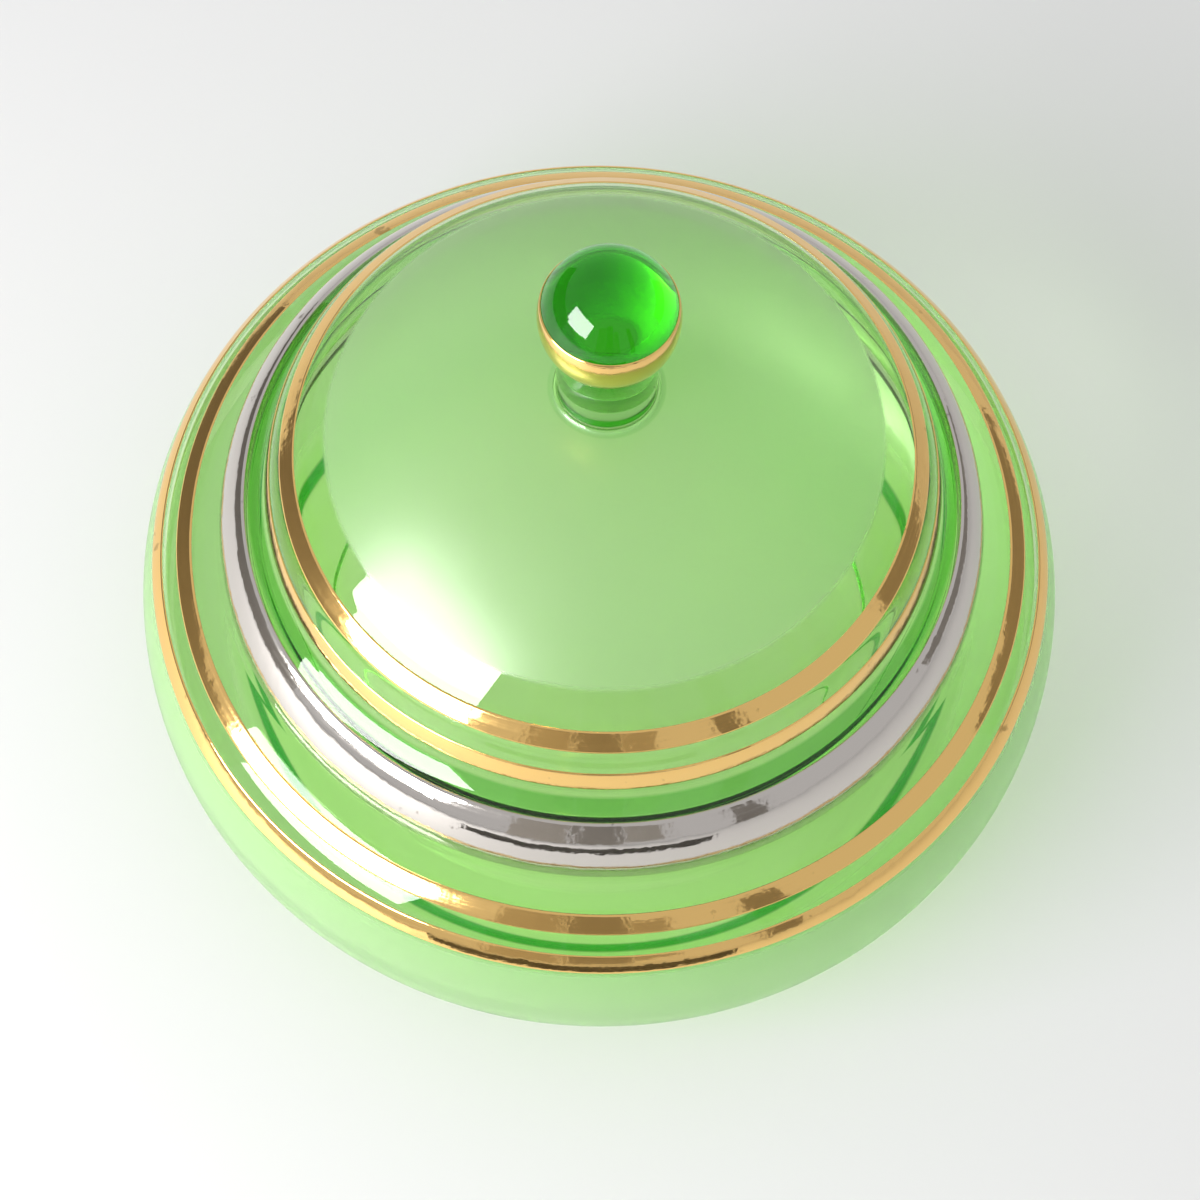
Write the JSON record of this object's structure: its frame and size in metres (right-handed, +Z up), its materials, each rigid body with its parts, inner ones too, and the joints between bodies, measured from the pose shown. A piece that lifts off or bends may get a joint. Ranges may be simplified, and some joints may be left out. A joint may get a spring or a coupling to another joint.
{
  "type": "covered candy dish",
  "caption": "Squat round glass candy dish with a stepped domed lid, ball knob and fired metal bands; the lid lifts off.",
  "frame": {"origin": "centre of the base, on the surface the dish stands on", "axes": "+Z up along the turning axis of bowl, lid and knob; X and Y level"},
  "size_m": [0.18, 0.18, 0.1378],
  "materials": {
    "bowl_glass": "clear green glass, satin-etched on the belly below the bands",
    "lid_glass": "clear green glass, satin-etched over the dome; solid knob",
    "gold": "burnished fired gold film, lightly worn",
    "platinum": "burnished fired platinum lustre, lightly scratched"
  },
  "bodies": {
    "bowl": {"bowl": "bowl_glass", "bowl_shoulder_gold_band": "gold", "bowl_belly_gold_band": "gold"},
    "lid": {"lid": "lid_glass", "knob": "lid_glass", "lid_dome_gold_band": "gold", "lid_riser_gold_band": "gold", "lid_rim_platinum_band": "platinum", "knob_gold_band": "gold"}
  },
  "joints": [
    {"name": "lid_lift", "type": "slide", "parent": "bowl", "child": "lid", "axis": [0, 0, 1], "range_m": [0, 0.12]}
  ]
}
